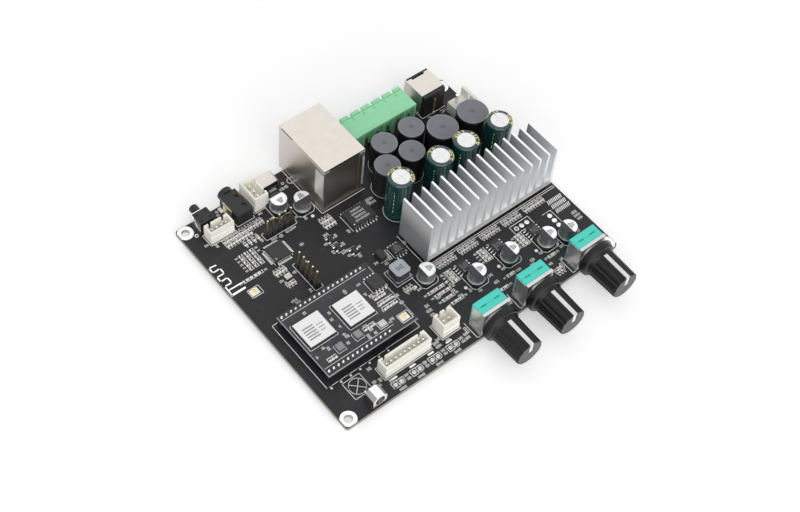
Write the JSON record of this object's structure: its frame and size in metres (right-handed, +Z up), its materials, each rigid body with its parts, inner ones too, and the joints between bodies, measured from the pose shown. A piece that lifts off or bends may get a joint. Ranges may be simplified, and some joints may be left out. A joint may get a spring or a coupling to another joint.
{
  "type": "audio amplifier board",
  "caption": "Circuit board audio amplifier with a finned heatsink, fluted control knobs along one edge, stacked and round sockets along the other, and a plug-on wireless module",
  "frame": {"origin": "middle of the four mounting holes, on the board's underside", "axes": "X along the knob edge, Y from the knobs to the connectors, Z up out of the board's top"},
  "size_m": [0.125, 0.1197, 0.0262],
  "materials": {
    "pcb": "satin solder mask",
    "heatsink": "extruded, fine lines along the fins",
    "screw": "zinc plated",
    "chip_black": "matte moulded",
    "thermal_pad": "soft",
    "cap_sleeve": "shrunk sleeve",
    "ferrite": "matte sintered",
    "coil_block": "matte pressed",
    "can_metal": "drawn can",
    "shell_metal": "tinned sheet",
    "black_plastic": "moulded",
    "gold": "plated",
    "tin": "tinned",
    "terminal_green": "moulded",
    "cream": "moulded",
    "pot_green": "moulded",
    "knob_black": "fine grained",
    "label": "printed label",
    "module_mask": "satin solder mask",
    "passive_dark": "glazed",
    "passive_tan": "sintered",
    "lens": "polished"
  },
  "bodies": {
    "board": {"main_pcb": "pcb", "heatsink": "heatsink", "heatsink_screws": "screw", "amplifier_chips": "chip_black", "thermal_pads": "thermal_pad", "bulk_capacitors": "cap_sleeve", "small_inductors": "ferrite", "large_inductors": "ferrite", "can_capacitors": "can_metal", "can_capacitor_bases": "black_plastic", "power_inductor": "coil_block", "network_jack_shell": "shell_metal", "network_jack_insert": "black_plastic", "network_jack_contacts": "gold", "terminal_housing": "terminal_green", "terminal_pins": "tin", "power_jack_housing": "black_plastic", "power_jack_shell": "shell_metal", "power_jack_contacts": "gold", "audio_jack_housing": "black_plastic", "audio_jack_contacts": "gold", "data_port_shell": "shell_metal", "data_port_tongue": "black_plastic", "switch_base": "black_plastic", "switch_bracket": "tin", "signal_header": "cream", "aux_header": "cream", "display_header": "cream", "lamp_header": "cream", "supply_header": "cream", "wire_header_pins": "tin", "pin_header_bases": "black_plastic", "pin_header_posts": "gold", "infrared_receiver": "lens", "infrared_shield": "tin", "pot_body_1": "pot_green", "pot_body_2": "pot_green", "pot_body_3": "pot_green", "pot_cover_1": "tin", "pot_cover_2": "tin", "pot_cover_3": "tin", "module_board": "module_mask", "module_header_strips": "black_plastic", "module_solder_points": "tin", "module_chips": "chip_black", "module_labels": "label", "chips": "chip_black", "chip_leads": "tin", "chip_resistors": "passive_dark", "chip_capacitors": "passive_tan", "coax_sockets": "gold", "heavy_lead_tails": "tin", "light_lead_tails": "tin"},
    "control_1": {"pot_shaft_1": "tin", "knob_1": "knob_black"},
    "control_2": {"pot_shaft_2": "tin", "knob_2": "knob_black"},
    "control_3": {"pot_shaft_3": "tin", "knob_3": "knob_black"},
    "button": {"switch_plunger": "black_plastic"}
  },
  "joints": [
    {"name": "control_1_turn", "type": "hinge", "parent": "board", "child": "control_1", "pos_m": [0.0021, -0.0495, 0.0081], "axis": [0, -1, 0], "range_deg": [-150, 150]},
    {"name": "control_2_turn", "type": "hinge", "parent": "board", "child": "control_2", "pos_m": [0.0222, -0.0495, 0.0081], "axis": [0, -1, 0], "range_deg": [-150, 150]},
    {"name": "control_3_turn", "type": "hinge", "parent": "board", "child": "control_3", "pos_m": [0.0477, -0.0495, 0.0081], "axis": [0, -1, 0], "range_deg": [-150, 150]},
    {"name": "button_press", "type": "slide", "parent": "board", "child": "button", "axis": [0, -1, 0], "range_m": [0, 0.00025], "stiffness_N_per_m": 4000, "springref_m": -0.00015}
  ]
}
